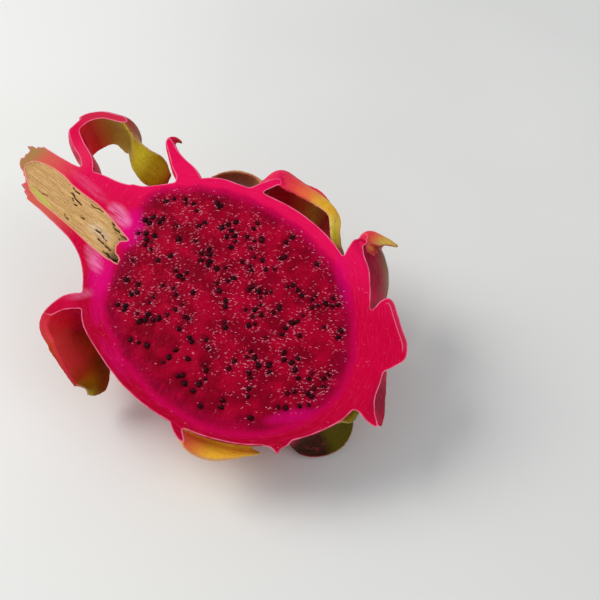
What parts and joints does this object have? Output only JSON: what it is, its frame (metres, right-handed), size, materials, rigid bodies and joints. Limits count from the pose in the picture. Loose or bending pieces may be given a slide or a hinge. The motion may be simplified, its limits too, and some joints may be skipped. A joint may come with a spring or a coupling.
{
  "type": "dragon fruit half",
  "caption": "Ripe red-fleshed dragon fruit half, cut lengthwise and lying cut face up, with curling rind scales, a broken woody stalk and black seeds.",
  "frame": {"origin": "centre of the small flat spot that the round back rests on", "axes": "-Z down into the surface that the half lies on; +X from the stalk towards the navel, level; the cut face looks up, tilted towards +X and -Y"},
  "size_m": [0.166, 0.1109, 0.0706],
  "materials": {
    "rind_skin": "waxy fruit rind, hot pink, turning orange, yellow-green and olive towards the scale tips",
    "flesh": "wet, dark crimson, with fine pale fibres and black seeds",
    "stalk_wood": "dry, fibrous, tan"
  },
  "bodies": {
    "root": {"rind": "rind_skin", "flesh": "flesh", "stalk_core": "stalk_wood"}
  },
  "joints": []
}
